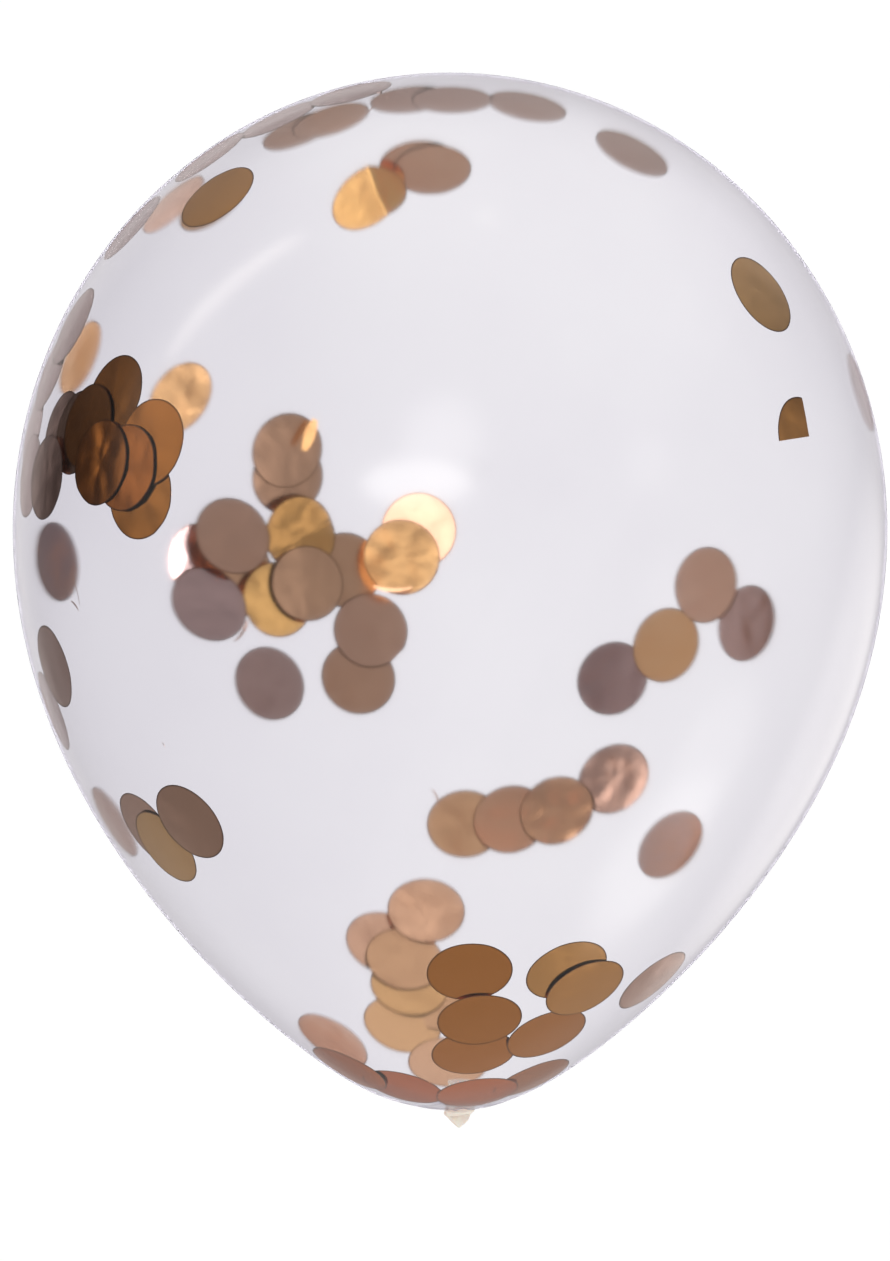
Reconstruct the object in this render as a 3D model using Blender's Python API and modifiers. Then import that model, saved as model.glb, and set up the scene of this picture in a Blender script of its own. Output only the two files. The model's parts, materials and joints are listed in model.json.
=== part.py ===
"""Confetti balloon: a clear latex balloon, blown full, tied, and lying on its side.

Metres, +Z up. The balloon's long axis lies along Y, with the crown towards +Y and the knot towards -Y.
The origin is the middle of the small flat spot that it rests on. The balloon is shut for good, so it
is one solid: its envelope, neck, knot, tail and rolled lip are one piece of latex.
"""

import math

import bpy

# Envelope
WIDTH = 0.270             # across the widest ring
CROWN_HEIGHT = 0.141      # from the widest ring to the top of the crown
TAPER_LENGTH = 0.190      # from the widest ring to where the taper alone would close
TAPER_POWER = 1.684       # fullness of the taper: 1 is an ellipse, 2 nearly a cone
BASE_DRAWN_UP = 0.0077    # the knot draws the end of the taper up by this much
BASE_SOFTNESS = 0.0060    # length over which the taper turns into the drawn-up base
DIMPLE_RADIUS = 0.0100    # mouth of the hollow that the neck sits in
DIMPLE_DEPTH = 0.0030
FLAT_DEPTH = 0.0015       # how far the flat spot cuts into the round

# Neck and knot
KNOT_OFFSET = 0.0030      # the knot sits this far to +X of the balloon's axis
STEM_RADIUS = 0.0032
STEM_ROOT = 0.0060        # how deep the stem reaches into the envelope
KNOT_STANDOFF = 0.0022    # from the floor of the dimple to the middle of the loop that locks the knot
STRAND_RADIUS = 0.0015    # of the rolled-up latex that forms the loops
KNOT_WIDTH = 0.0094       # over the outside of a loop
LOCK_TILT = math.radians(18)
CROSSING_DROP = 0.0017    # from the lock loop to the loop that crosses it
CROSSING_TILT = math.radians(-22)

# Tail, the short end of the neck that the knot leaves free
TAIL_WIDTH = 0.0078
TAIL_THICKNESS = 0.0050
TAIL_LENGTH = 0.0086
TAIL_DROP = 0.0026        # from the lock loop to the middle of the tail
TAIL_LEAN = math.radians(12)
LIP_WIDTH = 0.0070        # of the rolled lip, over its outside
LIP_ROLL_RADIUS = 0.0007
LIP_FLATTENING = 0.66     # the lip is pressed together to this share of its width
LIP_DROP = 0.0022         # from the middle of the tail to the middle of the lip
LIP_SLANT = math.radians(26)

# Fineness of the faceted solid
ROUND_STEPS = 64
CROWN_STEPS = 16
TAPER_STEPS = 24
DIMPLE_STEPS = 5
STEM_SIDES = 20
RING_STEPS = 28
ROLL_SIDES = 10
TAIL_RINGS = 14
MERGE_DISTANCE = 0.00005

LATEX_COLOUR = (0.86, 0.85, 0.89, 1.0)
LATEX_ROUGHNESS = 0.12

HALF_WIDTH = WIDTH / 2
AXIS_HEIGHT = HALF_WIDTH - FLAT_DEPTH


def clear_scene():
    for old in list(bpy.data.objects):
        bpy.data.objects.remove(old)


def make_collection(name):
    collection = bpy.data.collections.new(name)
    bpy.context.scene.collection.children.link(collection)
    return collection


def clear_latex():
    material = bpy.data.materials.new("clear_latex")
    material.use_nodes = True
    shader = material.node_tree.nodes["Principled BSDF"]
    shader.inputs["Base Color"].default_value = LATEX_COLOUR
    shader.inputs["Roughness"].default_value = LATEX_ROUGHNESS
    shader.inputs["Metallic"].default_value = 0.0
    return material


def turn_at(radius):
    """The taper's own angle at this radius: 0 on the widest ring and a quarter turn on the axis."""
    return math.acos((radius / HALF_WIDTH) ** (1 / TAPER_POWER))


def reach_at(radius):
    """How far below the widest ring the lower envelope lies at this radius."""
    taper = TAPER_LENGTH * math.sin(turn_at(radius))
    base = TAPER_LENGTH - BASE_DRAWN_UP
    drawn = base - BASE_SOFTNESS * math.log1p(math.exp((base - taper) / BASE_SOFTNESS))
    if radius >= DIMPLE_RADIUS:
        return drawn
    return drawn - DIMPLE_DEPTH * (1 + math.cos(math.pi * radius / DIMPLE_RADIUS)) / 2


def outline():
    """(radius, height above the widest ring) from the crown, down the side, to the floor of the dimple."""
    points = [(0.0, CROWN_HEIGHT)]
    for step in range(1, CROWN_STEPS):
        turn = math.pi / 2 * (1 - step / CROWN_STEPS)
        points.append((HALF_WIDTH * math.cos(turn), CROWN_HEIGHT * math.sin(turn)))
    for step in range(TAPER_STEPS + 1):
        turn = turn_at(DIMPLE_RADIUS) * step / TAPER_STEPS
        radius = HALF_WIDTH * math.cos(turn) ** TAPER_POWER
        points.append((radius, -reach_at(radius)))
    for step in range(1, DIMPLE_STEPS + 1):
        radius = DIMPLE_RADIUS * (1 - step / DIMPLE_STEPS)
        points.append((radius, -reach_at(radius)))
    return points


def add_envelope(axis, collection, material):
    """The outline turned round the balloon's axis."""
    profile = [(radius, 0, height) for radius, height in outline()]
    edges = [(start, start + 1) for start in range(len(profile) - 1)]
    mesh = bpy.data.meshes.new("balloon")
    mesh.from_pydata(profile, edges, [])
    mesh.materials.append(material)
    balloon = bpy.data.objects.new("balloon", mesh)
    collection.objects.link(balloon)
    balloon.parent = axis
    turned = balloon.modifiers.new("turned outline", "SCREW")
    turned.steps = ROUND_STEPS
    turned.render_steps = ROUND_STEPS
    turned.use_merge_vertices = True
    turned.merge_threshold = MERGE_DISTANCE
    turned.use_smooth_shade = True
    return balloon


def take_as_helper(name, parent, collection):
    """Names the shape just made and keeps it as a helper that only joins or cuts the balloon."""
    shape = bpy.context.object
    shape.name = name
    for holder in list(shape.users_collection):
        holder.objects.unlink(shape)
    collection.objects.link(shape)
    shape.parent = parent
    shape.hide_render = True
    shape.display_type = "WIRE"
    return shape


def add_stem(neck, collection):
    """The gathered neck between the envelope and the knot."""
    length = STEM_ROOT + KNOT_STANDOFF
    middle = STEM_ROOT - length / 2
    bpy.ops.mesh.primitive_cylinder_add(vertices=STEM_SIDES, radius=STEM_RADIUS, depth=length, location=(0, 0, middle))
    return take_as_helper("stem", neck, collection)


def add_loop(name, drop, tilt, neck, collection):
    """One turn of the rolled-up neck round itself."""
    bpy.ops.mesh.primitive_torus_add(
        major_segments=RING_STEPS,
        minor_segments=ROLL_SIDES,
        major_radius=KNOT_WIDTH / 2 - STRAND_RADIUS,
        minor_radius=STRAND_RADIUS,
        location=(0, 0, -drop),
        rotation=(0, tilt, 0),
    )
    return take_as_helper(name, neck, collection)


def add_tail(neck, collection):
    """The flattened free end, leaning away from the side that the balloon shows upwards."""
    drop = KNOT_STANDOFF + TAIL_DROP
    bpy.ops.mesh.primitive_uv_sphere_add(
        segments=RING_STEPS, ring_count=TAIL_RINGS, radius=1, location=(0, 0, -drop), rotation=(TAIL_LEAN, 0, 0)
    )
    tail = take_as_helper("tail", neck, collection)
    tail.scale = (TAIL_WIDTH / 2, TAIL_THICKNESS / 2, TAIL_LENGTH / 2)
    return tail


def add_lip(neck, collection):
    """The rolled lip round the mouth of the tail."""
    drop = KNOT_STANDOFF + TAIL_DROP + LIP_DROP
    bpy.ops.mesh.primitive_torus_add(
        major_segments=RING_STEPS,
        minor_segments=ROLL_SIDES,
        major_radius=LIP_WIDTH / 2 - LIP_ROLL_RADIUS,
        minor_radius=LIP_ROLL_RADIUS,
        location=(0, 0, -drop),
        rotation=(LIP_SLANT, 0, 0),
    )
    lip = take_as_helper("lip", neck, collection)
    lip.scale = (1, LIP_FLATTENING, 1)
    return lip


def add_floor_slab(collection):
    """A slab whose top is the plane of the flat spot."""
    side = 2 * WIDTH
    height = HALF_WIDTH
    bpy.ops.mesh.primitive_cube_add(size=1, location=(0, 0, -height / 2))
    slab = take_as_helper("floor_slab", None, collection)
    slab.scale = (side, side, height)
    return slab


def add_empty(name, parent, place, turn, collection):
    empty = bpy.data.objects.new(name, None)
    collection.objects.link(empty)
    empty.parent = parent
    empty.location = place
    empty.rotation_euler = turn
    return empty


def join_or_cut(balloon, shape, operation):
    step = balloon.modifiers.new(shape.name, "BOOLEAN")
    step.operation = operation
    step.object = shape
    step.solver = "EXACT"


def main():
    clear_scene()
    parts = make_collection("confetti_balloon")
    helpers = make_collection("helpers")
    # Seen from the axis, up the outline from knot to crown is world +Y, and the world's up is its -Y
    lying_down = (-math.pi / 2, 0, 0)
    axis = add_empty("balloon_axis", None, (0, 0, AXIS_HEIGHT), lying_down, parts)
    neck = add_empty("neck_root", axis, (KNOT_OFFSET, 0, -reach_at(0)), (0, 0, 0), parts)
    balloon = add_envelope(axis, parts, clear_latex())
    joined = [
        add_stem(neck, helpers),
        add_loop("lock_loop", KNOT_STANDOFF, LOCK_TILT, neck, helpers),
        add_loop("crossing_loop", KNOT_STANDOFF + CROSSING_DROP, CROSSING_TILT, neck, helpers),
        add_tail(neck, helpers),
        add_lip(neck, helpers),
    ]
    for shape in joined:
        join_or_cut(balloon, shape, "UNION")
    join_or_cut(balloon, add_floor_slab(helpers), "DIFFERENCE")


main()
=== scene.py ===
"""Looks of the confetti balloon: clear milky latex, a cream knot, and copper foil discs clinging to
the inside of the skin. The balloon lies on its side and the camera looks down on it.

Metres, +Z up. The crown is towards +Y and the knot towards -Y.
"""

import json
import math
import random

import bmesh
import bpy
from mathutils import Matrix, Vector
from mathutils.bvhtree import BVHTree

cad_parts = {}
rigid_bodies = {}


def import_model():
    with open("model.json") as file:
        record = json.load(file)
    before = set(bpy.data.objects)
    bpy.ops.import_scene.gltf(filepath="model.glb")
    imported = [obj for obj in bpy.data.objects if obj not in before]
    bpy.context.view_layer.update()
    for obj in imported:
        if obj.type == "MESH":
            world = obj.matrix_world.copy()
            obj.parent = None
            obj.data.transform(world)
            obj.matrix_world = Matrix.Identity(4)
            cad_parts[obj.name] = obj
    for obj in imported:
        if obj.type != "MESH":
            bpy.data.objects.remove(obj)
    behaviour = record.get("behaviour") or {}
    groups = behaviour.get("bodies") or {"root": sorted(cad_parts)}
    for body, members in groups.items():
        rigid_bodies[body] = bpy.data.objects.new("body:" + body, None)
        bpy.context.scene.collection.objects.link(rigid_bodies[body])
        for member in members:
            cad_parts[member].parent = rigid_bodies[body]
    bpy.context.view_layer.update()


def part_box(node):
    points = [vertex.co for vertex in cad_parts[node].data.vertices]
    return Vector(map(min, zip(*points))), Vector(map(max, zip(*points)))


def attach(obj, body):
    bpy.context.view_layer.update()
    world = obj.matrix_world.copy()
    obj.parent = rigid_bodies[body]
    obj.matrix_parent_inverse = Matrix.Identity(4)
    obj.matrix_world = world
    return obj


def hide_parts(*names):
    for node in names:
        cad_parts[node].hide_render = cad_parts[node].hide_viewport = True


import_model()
LOW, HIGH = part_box("balloon")

# Envelope, the same form as the solid it stands for
WIDTH = HIGH.x - LOW.x
HALF_WIDTH = WIDTH / 2
AXIS_HEIGHT = HIGH.z - HALF_WIDTH
CROWN_HEIGHT = HIGH.y
TAPER_LENGTH = 0.190
TAPER_POWER = 1.684
BASE_DRAWN_UP = 0.0077
BASE_SOFTNESS = 0.0060
DIMPLE_RADIUS = 0.0100
DIMPLE_DEPTH = 0.0030
KNOT_OFFSET = 0.0030
SKIN_ROUND_STEPS = 320
SIDE_CROWDING = 0.35      # draws the steps together at the sides, which the camera sees edge on
SKIN_CROWN_RINGS = 100
SKIN_TAPER_RINGS = 144
SKIN_DIMPLE_RINGS = 12

# Pleats where the skin is drawn into the neck
PLEAT_COUNT = 15
PLEAT_REACH = 0.024
PLEAT_DEPTH = 0.0005
PLEAT_DRIFT = 2           # how far the pleats crowd together and apart, in radians
PLEAT_DRIFT_WAVES = 3     # how often they do so on the way round

# Knot
STEM_RADIUS = 0.0032
STEM_ROOT = 0.0060        # how deep the stem reaches into the envelope
STEM_ROOT_GIRTH = 1.12    # of the stem at its root, as a share of its radius
STEM_DRAWN_IN = 0.30      # what it loses of that on the way to the lock
KNOT_STANDOFF = 0.0022    # from the floor of the dimple to the middle of the loop that locks the knot
STRAND_RADIUS = 0.0015    # of the rolled-up latex that forms the loops
KNOT_WIDTH = 0.0094       # over the outside of a loop
LOCK_TILT = math.radians(18)
CROSSING_DROP = 0.0010    # from the lock loop to the loop that crosses it
CROSSING_TILT = math.radians(-12)
TAIL_LENGTH = 0.0070      # from inside the knot to the mouth of the free end
TAIL_WIDTH = 0.0078
TAIL_THICKNESS = 0.0042
TAIL_ROOT_GIRTH = 0.62    # girths of the tail, as shares of its full width and thickness
TAIL_WIDENING = 0.38
TAIL_WIDE_AT = 0.6
TAIL_NARROWING = 0.10
TAIL_NARROWS_FROM = 0.7
MOUTH = Vector((-0.00215, -0.00650, 0))         # middle of the mouth, seen from the root of the neck
MOUTH_FACING = Vector((-0.66, -0.71, 0.26))
MOUTH_GIRTH = 0.9
MOUTH_DEPTH = 0.0016
HOLLOW_GIRTH = 0.72
HOLLOW_CLOSING = 0.30
LIP_ROLL_RADIUS = 0.0007
LOOP_SWELL = 0.08         # how much a rolled strand swells and thins on the way round
LIP_SWELL = 0.12
SWELL_START = 0.6         # where on the ring it does so, in radians
TUBE_SIDES = 36
LIP_SIDES = 20
KNOT_GRAIN = 0.00016      # fineness of the surface that the knot's forms melt into
KNOT_SMOOTHING = 3

# Flutes of the gathered latex: how many, how deep as a share of the girth, and how many turns they wind
STEM_FLUTES = (9, 0.10, 0.3)
LOOP_FLUTES = (5, 0.09, 3)
TAIL_FLUTES = (7, 0.05, 0.15)
LIP_FLUTES = (3, 0.05, 5)

# Photograph and camera
IMAGE_WIDTH = 890
IMAGE_HEIGHT = 1261
CAMERA_TILT = math.radians(2.5)
CAMERA_DISTANCE = 1.377
CAMERA_CLIP = 0.01
LENS_MM = 126.7
SENSOR_MM = 36
BALLOON_MIDDLE_PIXEL = (450, 530.7)
FOCAL_PIXELS = LENS_MM / SENSOR_MM * IMAGE_HEIGHT
JUST_INSIDE = 1e-5        # a ray goes on from here past the near wall, in metres

# Confetti
DISC_DIAMETER = 0.0254
FOIL_THICKNESS = 0.00006
DISC_RINGS = 7
DISC_SIDES = 48
FIRST_LIFT = 0.0006       # gap between the skin and the first layer of discs
LIFT_STEP = 0.00045       # from one layer to the next
LEAST_GAP = 0.00025
CLING = 0.45              # 0 leaves a disc flat, 1 bends it to the skin
CRUMPLE_DEPTH = 0.0005
CRUMPLE_SIZE = 0.009
CRUMPLE_DETAIL = 2
CRUMPLE_ROUGHNESS = 0.45
CAST_START = 0.03         # a ray to the skin starts this far inside of a disc
CAST_LENGTH = 0.2
FOIL_SHARP_ANGLE = math.radians(40)
SLIVER_TAPER = 0.6        # what a strip loses of its width towards its ends
SLIVER_HALF_WIDTH = 0.10  # half widths and the bow of a strip are shares of its half length
THREAD_HALF_WIDTH = 0.02
FLAKE_HALF_WIDTH = 0.30
SLIVER_BOW = 0.18
CONFETTI_SEED = 7

# Kinds of foil piece, in the alphabetical order of their templates' names, by which the tree picks them
WHOLE_DISC = 0
QUARTER = 1
NOTCHED_DISC = 2
SLIVER = 3
THREAD = 4
FLAKE = 5

# Straight cuts through a disc of unit radius: a point on the cut, and the way to what falls away
QUARTER_CUTS = (((0.22, 0, 0), (1, 0.06, 0)), ((0, 0.05, 0), (0.12, -1, 0)))
NOTCH_CUTS = (((0.68, -0.68, 0), (1, -1, 0)),)

# Directions in the room, as (degrees off the camera's axis, degrees round it from the photograph's right)
WARM_RIGHT = (60, -14)
WARM_HIGH_RIGHT = (55, 19)
WARM_LOW_RIGHT = (92, -35)
WARM_LOW = (95, -50)
DIM_LOW = (96, -88)
DIM_RIGHT = (45, 40)
ROSE_RIGHT = (50, 36)
LEVEL_RIGHT = (56, -2)
PALE_RIGHT = (62, 45)
BEHIND_RIGHT = (122, 6)
BRIGHT_WALL = (24, 95)
BY_BRIGHT_WALL = (35, 100)

# Where the discs are seen, as pixels of the photograph. Each row gives the name, the pixel, the layer
# counted from the skin, and the foil's tone: 0 mauve, 0.35 rose, 0.65 gold, 0.85 copper and 1 red copper.
# The tones are partly the foil's own colours and partly painted light: mauve and greyish tones paint the
# film's milky veil over far and edge-on discs, and some tones are lighter or darker as painted light and
# shade.
NEAR_DISCS = (
    ("upper_left", 216, 195, 0, 0.75),
    ("upper_right", 763, 293, 0, 0.60),
    ("left_dark_top", 110, 395, 2, 0.85),
    ("left_dark_low", 84, 425, 1, 0.85),
    ("left_brown", 70, 431, 3, 0.35),
    ("left_orange", 98, 462, 0, 0.88),
    ("left_middle", 122, 467, 1, 0.90),
    ("left_gold", 147, 441, 2, 0.86),
    ("left_bottom", 135, 495, 3, 0.84),
    ("left_edge_upper", 54, 431, 4, 0.25),
    ("left_edge_lower", 44, 477, 0, 0.25),
    ("left_edge_outer", 26, 475, 1, 0.10),
    ("left_edge_high", 28, 430, 2, 0.10),
    ("left_edge_single", 52, 667, 0, 0.20),
    ("left_edge_pale", 50, 712, 1, 0.05),
    ("rim_one", 350, 91, 0, 0.10),
    ("rim_two", 277, 116, 1, 0.10),
    ("rim_three", 208, 155, 0, 0.10),
    ("rim_four", 130, 226, 0, 0.05),
    ("rim_five", 71, 325, 0, 0.10),
    ("rim_six", 48, 370, 1, 0.10),
    ("lower_left_brown", 188, 823, 0, 0.35),
    ("lower_left_orange", 163, 849, 1, 0.60),
    ("lower_left_behind", 144, 832, 2, 0.30),
    ("bottom_top", 470, 975, 1, 0.85),
    ("bottom_middle", 480, 1022, 0, 0.85),
    ("bottom_low", 474, 1057, 2, 0.86),
    ("bottom_right_top", 568, 973, 1, 0.74),
    ("bottom_right_middle", 586, 990, 0, 0.77),
    ("bottom_right_low", 548, 1037, 1, 0.85),
    ("right_bottom_thin", 654, 982, 0, 0.30),
    ("base_left", 348, 1071, 0, 0.95),
    ("base_middle", 402, 1091, 1, 1.00),
    ("base_right", 478, 1096, 0, 0.98),
    ("base_far_right", 533, 1082, 1, 0.90),
)
FAR_DISCS = (
    ("upper_left_behind", 213, 203, 0, 0.50),
    ("upper_left_faint", 173, 204, 0, 0.30),
    ("top_first", 410, 99, 0, 0.20),
    ("top_second", 452, 98, 1, 0.20),
    ("top_left", 300, 130, 0, 0.30),
    ("top_left_end", 330, 119, 1, 0.30),
    ("top_right", 527, 106, 0, 0.20),
    ("top_right_two_tone", 632, 153, 0, 0.20),
    ("upper_pair_high", 418, 163, 2, 0.35),
    ("upper_pair_right", 432, 167, 3, 0.35),
    ("upper_gold", 366, 188, 0, 0.65),
    ("left_peach", 80, 358, 0, 0.55),
    ("left_mauve", 52, 562, 0, 0.00),
    ("left_gold_lit", 178, 397, 0, 0.55),
    ("low_left_hazy", 114, 822, 0, 0.20),
    ("cluster_top", 286, 450, 3, 0.38),
    ("cluster_second", 287, 477, 2, 0.38),
    ("cluster_left", 225, 536, 3, 0.30),
    ("cluster_far_left", 201, 606, 2, 0.05),
    ("cluster_overexposed_left", 201, 561, 0, 0.05),
    ("cluster_inner_left", 236, 573, 0, 0.42),
    ("cluster_gold_high", 297, 534, 1, 0.70),
    ("cluster_gold_low", 273, 601, 9, 0.65),
    ("cluster_dark", 302, 585, 13, 0.40),
    ("cluster_right", 345, 570, 1, 0.40),
    ("cluster_bright", 400, 557, 7, 0.58),
    ("cluster_overexposed", 419, 530, 0, 0.36),
    ("cluster_notched", 370, 631, 3, 0.30),
    ("cluster_below", 358, 678, 2, 0.35),
    ("single_below", 270, 683, 0, 0.10),
    ("right_first", 612, 678, 0, 0.05),
    ("right_second", 666, 645, 1, 0.50),
    ("right_third", 706, 585, 1, 0.30),
    ("right_fourth", 746, 623, 0, 0.10),
    ("chain_first", 465, 823, 0, 0.45),
    ("chain_second", 511, 819, 1, 0.38),
    ("chain_third", 557, 811, 2, 0.40),
    ("chain_fourth", 613, 778, 0, 0.20),
    ("lower_right_single", 670, 844, 0, 0.05),
    ("low_cluster_top", 426, 912, 3, 0.38),
    ("low_cluster_left", 384, 942, 0, 0.35),
    ("low_cluster_second", 404, 960, 2, 0.45),
    ("low_cluster_third", 409, 986, 1, 0.55),
    ("low_cluster_fourth", 402, 1024, 0, 0.50),
    ("low_cluster_hidden", 440, 1000, 0, 0.45),
    ("low_cluster_right", 448, 1064, 1, 0.40),
    ("low_single", 332, 1041, 0, 0.30),
    ("right_edge_faint", 862, 392, 0, 0.00),
)

# Pieces that lean or fold: the direction that the piece mirrors, then for a fold the direction that its
# folded side mirrors and a pixel on the fold
LEANS = {
    "cluster_overexposed": (BRIGHT_WALL,),
    "cluster_bright": (BY_BRIGHT_WALL,),
    "cluster_left": (ROSE_RIGHT,),
    "cluster_inner_left": (LEVEL_RIGHT,),
    "cluster_far_left": (PALE_RIGHT,),
    "cluster_gold_high": (WARM_RIGHT, DIM_RIGHT, (291, 545)),
    "glint": (BRIGHT_WALL,),
    "crescent": (BRIGHT_WALL,),
    "left_gold_lit": (WARM_LOW_RIGHT,),
    "left_mauve": (BEHIND_RIGHT,),
    "upper_gold": (WARM_LOW, DIM_LOW, (384, 200)),
}

# Discs that are crumpled more than the others, as a multiple
CRUMPLED = {
    "cluster_overexposed": 1.5,
    "cluster_bright": 1.2,
    "cluster_gold_high": 4,
    "cluster_gold_low": 1.6,
    "chain_third": 3,
    "chain_fourth": 2,
    "left_orange": 4,
    "left_middle": 2.5,
    "left_gold": 3,
    "left_bottom": 3,
    "left_gold_lit": 2.5,
}

# The disc with a notch, and a quarter on the near wall: the pixel that its whole disc's middle would have,
# the layer and the tone
NOTCHED = "cluster_notched"
OFFCUT = ((806, 439), 0, 0.78)

# Loose bits: name, whether on the far wall, the kind of piece, the layer, the tone and both ends' pixels
SLIVERS = (
    ("sliver_left", True, SLIVER, 0, 0.30, (249, 621), (234, 640)),
    ("sliver_chain", True, SLIVER, 0, 0.30, (432, 788), (438, 803)),
    ("glint", True, FLAKE, 4, 0.58, (311, 417), (299, 447)),
    ("crescent", True, SLIVER, 22, 0.45, (407, 591), (370, 589)),
    ("curl", False, THREAD, 0, 0.30, (67, 574), (79, 604)),
    ("crumb", False, SLIVER, 0, 0.30, (69, 603), (77, 609)),
    ("speck", False, SLIVER, 0, 0.30, (161, 743), (163, 748)),
    ("thread", False, THREAD, 0, 0.30, (367, 84), (375, 107)),
)


def smooth_step(value, low, high):
    """0 up to the low value and 1 from the high one, with soft ends between them."""
    share = min(max((value - low) / (high - low), 0.0), 1.0)
    return share * share * (3 - 2 * share)


# Camera


def add_camera():
    """The camera looks down on the balloon and is turned so that the middle sits on its own pixel."""
    middle = Vector((0, 0, AXIS_HEIGHT))
    toward_camera = Vector((0, math.sin(CAMERA_TILT), math.cos(CAMERA_TILT)))
    right = Vector((1, 0, 0))
    up = toward_camera.cross(right)
    upright = Matrix((right, up, toward_camera)).transposed()
    wanted = pixel_direction(BALLOON_MIDDLE_PIXEL)
    turn = wanted.rotation_difference(Vector((0, 0, -1))).to_matrix()
    data = bpy.data.cameras.new("camera")
    data.lens = LENS_MM
    data.sensor_fit = "VERTICAL"
    data.sensor_height = SENSOR_MM
    data.clip_start = CAMERA_CLIP
    camera = bpy.data.objects.new("camera", data)
    bpy.context.scene.collection.objects.link(camera)
    place = Matrix.Translation(middle + CAMERA_DISTANCE * toward_camera)
    camera.matrix_world = place @ (upright @ turn).to_4x4()
    bpy.context.scene.camera = camera
    return camera


def pixel_direction(pixel):
    """The direction of the ray through a pixel of the photograph, in the camera's own axes."""
    across = (pixel[0] - IMAGE_WIDTH / 2) / FOCAL_PIXELS
    down = (pixel[1] - IMAGE_HEIGHT / 2) / FOCAL_PIXELS
    return Vector((across, -down, -1)).normalized()


def wall_behind(pixel, camera, skin_tree, far):
    """The point and outward normal of the skin on the ray through a pixel, on the near or the far wall."""
    start = camera.matrix_world.translation
    direction = camera.matrix_world.to_3x3() @ pixel_direction(pixel)
    place, normal = skin_tree.ray_cast(start, direction)[:2]
    if place is None:
        raise ValueError(f"pixel {pixel} misses the balloon")
    if far:
        place, normal = skin_tree.ray_cast(place + direction * JUST_INSIDE, direction)[:2]
    return place, normal


# Skin


def turn_at(radius):
    """The taper's own angle at this radius: 0 on the widest ring and a quarter turn on the axis."""
    return math.acos((radius / HALF_WIDTH) ** (1 / TAPER_POWER))


def reach_at(radius):
    """How far below the widest ring the lower envelope lies at this radius."""
    taper = TAPER_LENGTH * math.sin(turn_at(radius))
    base = TAPER_LENGTH - BASE_DRAWN_UP
    drawn = base - BASE_SOFTNESS * math.log1p(math.exp((base - taper) / BASE_SOFTNESS))
    if radius >= DIMPLE_RADIUS:
        return drawn
    return drawn - DIMPLE_DEPTH * (1 + math.cos(math.pi * radius / DIMPLE_RADIUS)) / 2


def skin_outline():
    """(radius, height) rings from just below the crown's pole to just above the dimple's."""
    rings = []
    for step in range(1, SKIN_CROWN_RINGS):
        turn = math.pi / 2 * (1 - step / SKIN_CROWN_RINGS)
        rings.append((HALF_WIDTH * math.cos(turn), CROWN_HEIGHT * math.sin(turn)))
    for step in range(SKIN_TAPER_RINGS + 1):
        turn = turn_at(DIMPLE_RADIUS) * step / SKIN_TAPER_RINGS
        radius = HALF_WIDTH * math.cos(turn) ** TAPER_POWER
        rings.append((radius, -reach_at(radius)))
    for step in range(1, SKIN_DIMPLE_RINGS):
        radius = DIMPLE_RADIUS * (1 - step / SKIN_DIMPLE_RINGS)
        rings.append((radius, -reach_at(radius)))
    return rings


def skin_point(radius, height, angle):
    """A point of the skin: round the axis, with the neck's pleats and offset, and flat where it rests."""
    near_neck = 1 - smooth_step(radius, 0, PLEAT_REACH) if height < 0 else 0
    drift = PLEAT_DRIFT * math.sin(PLEAT_DRIFT_WAVES * angle)
    pleat = PLEAT_DEPTH * near_neck * math.cos(PLEAT_COUNT * angle + drift)
    across = radius * math.cos(angle) + KNOT_OFFSET * near_neck
    up = AXIS_HEIGHT + radius * math.sin(angle)
    return (across, height + pleat, max(up, 0.0))


def build_skin():
    """The envelope as one closed surface of four-sided faces, with a fan at each pole."""
    rings = skin_outline()
    points = [(0, CROWN_HEIGHT, AXIS_HEIGHT)]
    for radius, height in rings:
        for step in range(SKIN_ROUND_STEPS):
            even = 2 * math.pi * step / SKIN_ROUND_STEPS
            points.append(skin_point(radius, height, even - SIDE_CROWDING * math.sin(2 * even)))
    points.append((KNOT_OFFSET, -reach_at(0), AXIS_HEIGHT))
    last = len(points) - 1
    faces = []
    for step in range(SKIN_ROUND_STEPS):
        after = (step + 1) % SKIN_ROUND_STEPS
        faces.append((0, 1 + after, 1 + step))
        for ring in range(len(rings) - 1):
            upper = 1 + ring * SKIN_ROUND_STEPS
            lower = upper + SKIN_ROUND_STEPS
            faces.append((upper + step, upper + after, lower + after, lower + step))
        lowest = 1 + (len(rings) - 1) * SKIN_ROUND_STEPS
        faces.append((lowest + step, lowest + after, last))
    mesh = bpy.data.meshes.new("latex_skin")
    mesh.from_pydata(points, [], faces)
    skin = bpy.data.objects.new("latex_skin", mesh)
    bpy.context.scene.collection.objects.link(skin)
    outward(mesh)
    mesh.shade_smooth()
    return skin


def outward(mesh):
    """Turns every face of a closed mesh outwards."""
    work = bmesh.new()
    work.from_mesh(mesh)
    bmesh.ops.recalc_face_normals(work, faces=work.faces)
    work.to_mesh(mesh)
    work.free()


# Confetti


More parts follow.
